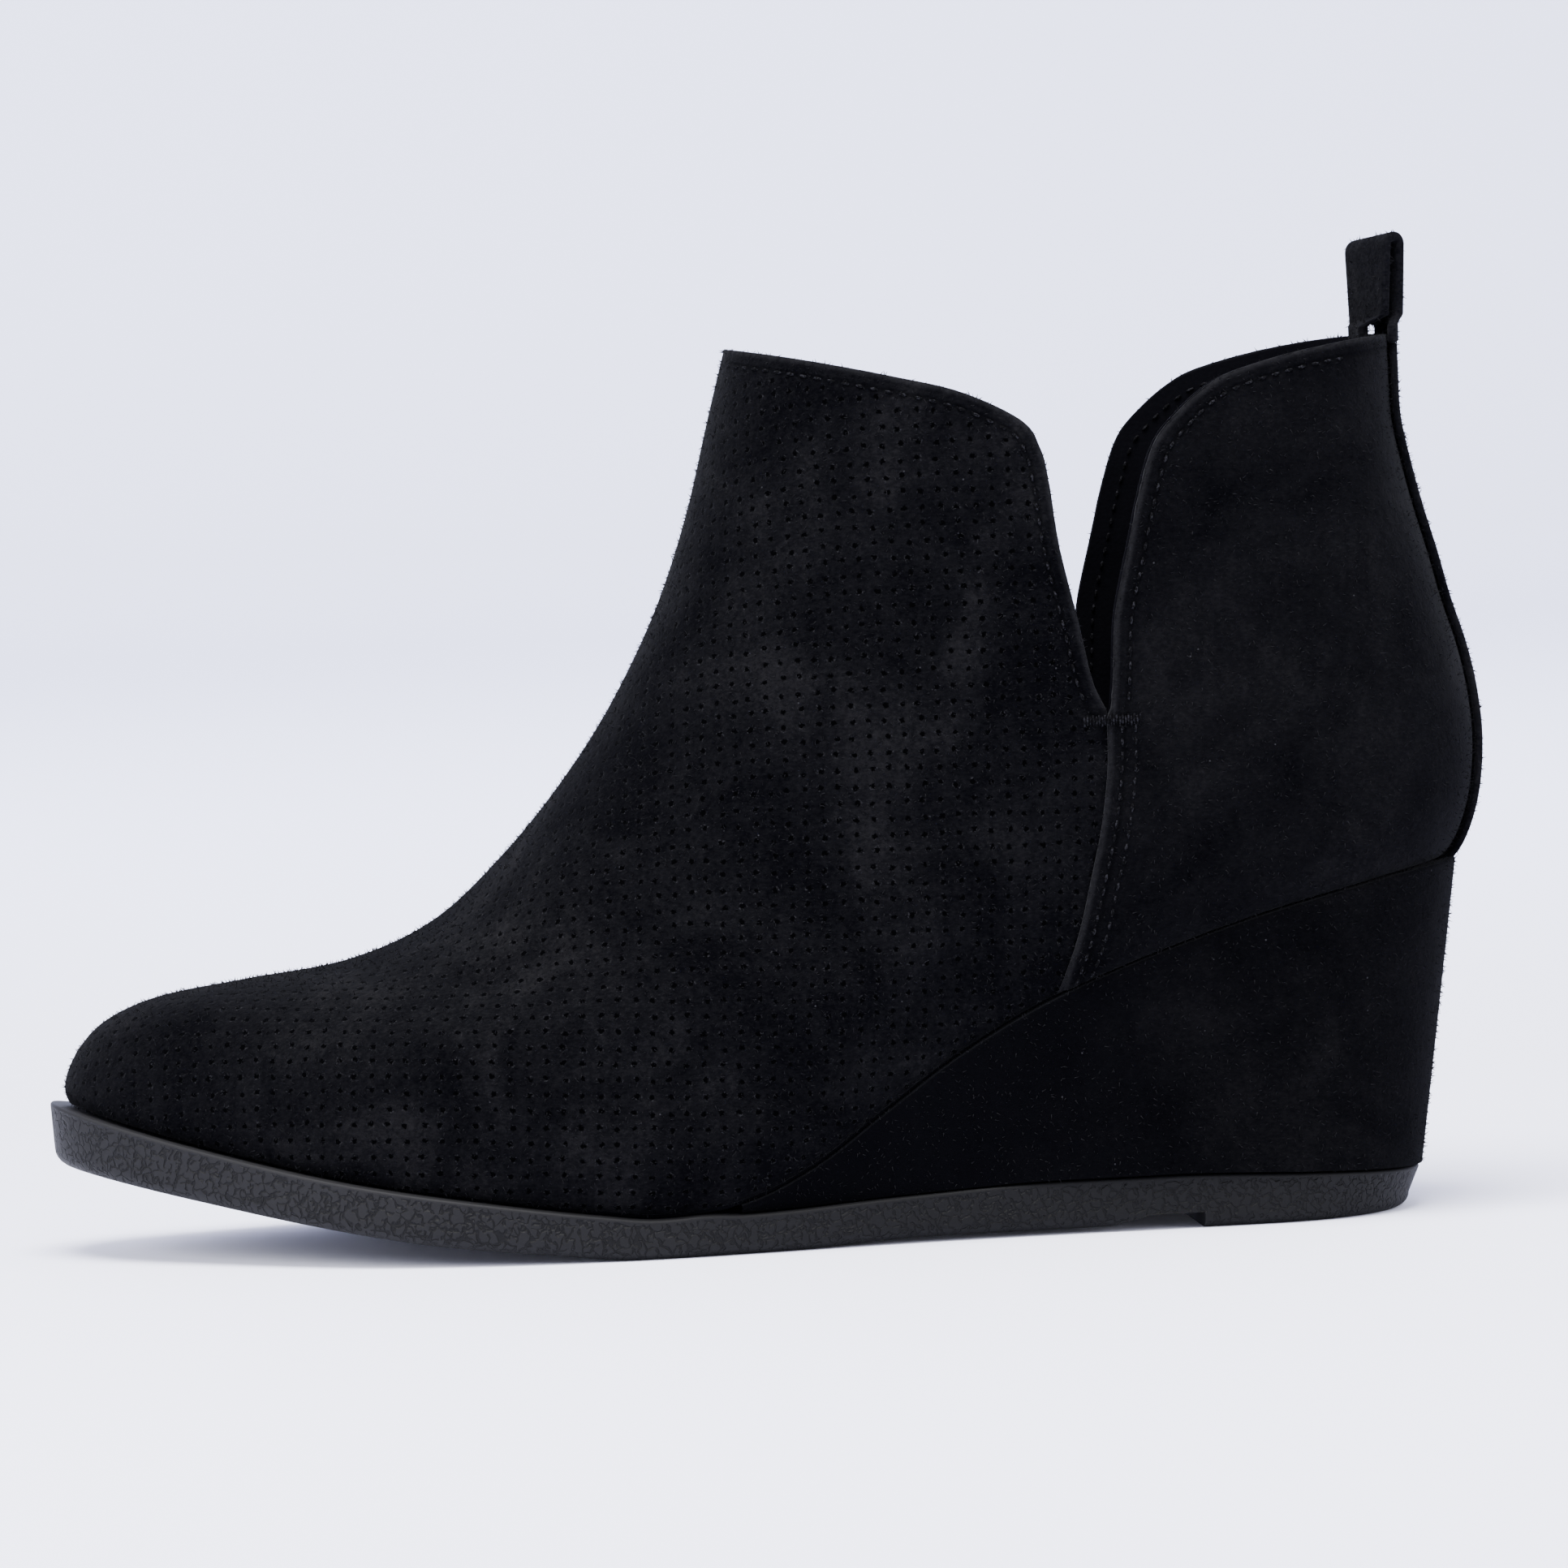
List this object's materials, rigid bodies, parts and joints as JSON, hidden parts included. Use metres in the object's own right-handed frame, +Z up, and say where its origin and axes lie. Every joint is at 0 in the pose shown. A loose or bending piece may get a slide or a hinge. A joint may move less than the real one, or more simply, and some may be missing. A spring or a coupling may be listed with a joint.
{
  "type": "wedge_ankle_boot",
  "caption": "Black suede wedge ankle boot with a notch on each side, a perforated vamp, a covered wedge and a grey rubber outsole.",
  "frame": {"origin": "On the floor at the middle of the heel's tread", "axes": "+X points to the toe, +Y to the outer side of a left foot, +Z up"},
  "size_m": [0.2547, 0.0837, 0.1723],
  "materials": {
    "grey_rubber": "matte",
    "wedge_suede": "matte",
    "black_suede": "matte",
    "insole_lining": "matte",
    "strap_suede": "matte"
  },
  "bodies": {
    "root": {"outsole": "grey_rubber", "wedge": "wedge_suede", "upper": "black_suede", "insole": "insole_lining", "back_strap": "strap_suede", "pull_loop": "strap_suede"}
  },
  "joints": []
}
